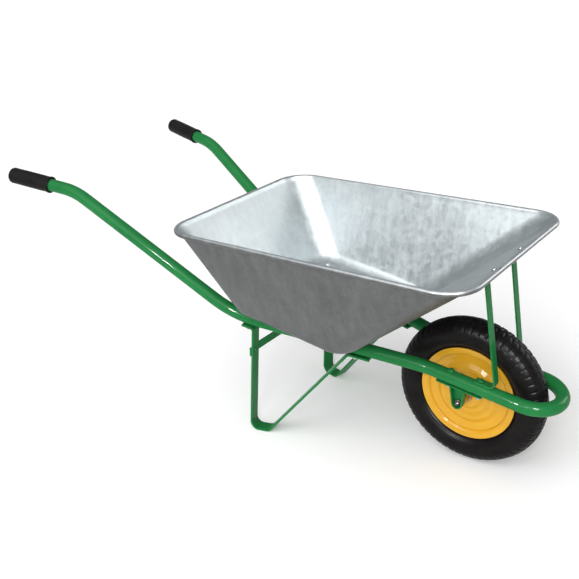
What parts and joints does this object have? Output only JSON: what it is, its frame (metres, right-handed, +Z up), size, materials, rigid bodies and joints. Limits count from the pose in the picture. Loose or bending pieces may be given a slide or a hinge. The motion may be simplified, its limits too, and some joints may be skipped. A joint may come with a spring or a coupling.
{
  "type": "wheelbarrow",
  "caption": "Single-wheel builder's barrow with a galvanised tray on a bent tube frame, strip legs, front stays, rubber grips and a pneumatic wheel that spins freely.",
  "frame": {"origin": "on the ground, midway along the overall length and in the middle plane", "axes": "+X forward from the handles to the wheel, +Y to the left seen from behind the handles, +Z up"},
  "size_m": [1.406, 0.6436, 0.6562],
  "materials": {
    "green_paint": "gloss green powder coat",
    "galvanised_sheet": "hot-dip galvanised sheet with soft streaks and spangle",
    "grip_rubber": "satin black moulded grip",
    "tyre_rubber": "black tyre rubber, glossy sidewall",
    "tube_rubber": "dull black butyl",
    "yellow_paint": "gloss orange-yellow paint",
    "bush_bronze": "plain sintered bronze",
    "spacer_brass": "yellow zinc plated",
    "bare_steel": "bare steel",
    "zinc_fastener": "bright zinc plated",
    "valve_brass": "plated brass",
    "cap_plastic": "black moulded plastic"
  },
  "bodies": {
    "frame": {"frame_tube": "green_paint", "left_grip": "grip_rubber", "right_grip": "grip_rubber", "tray": "galvanised_sheet", "rim_wire": "bare_steel", "left_leg": "green_paint", "right_leg": "green_paint", "leg_brace": "green_paint", "left_front_stay": "green_paint", "right_front_stay": "green_paint", "left_axle_bracket": "green_paint", "right_axle_bracket": "green_paint", "axle": "bare_steel", "axle_nuts": "bare_steel", "left_axle_spacer": "spacer_brass", "right_axle_spacer": "spacer_brass", "tray_bolts": "zinc_fastener", "tray_washers": "zinc_fastener", "tray_nuts": "zinc_fastener", "bracket_rear_bolts": "green_paint", "bracket_rear_nuts": "zinc_fastener", "bracket_front_bolts": "green_paint", "bracket_front_nuts": "zinc_fastener", "stay_bolts": "zinc_fastener", "stay_nuts": "zinc_fastener", "brace_bolts": "green_paint", "brace_nuts": "zinc_fastener"},
    "wheel": {"tyre": "tyre_rubber", "inner_tube": "tube_rubber", "rim": "yellow_paint", "left_wheel_disc": "yellow_paint", "right_wheel_disc": "yellow_paint", "hub_tube": "yellow_paint", "left_wheel_bush": "bush_bronze", "right_wheel_bush": "bush_bronze", "valve_stem": "valve_brass", "valve_cap": "cap_plastic"}
  },
  "joints": [
    {"name": "wheel_spin", "type": "hinge", "parent": "frame", "child": "wheel", "pos_m": [0.47875, 0, 0.18], "axis": [0, 1, 0], "continuous": true}
  ]
}
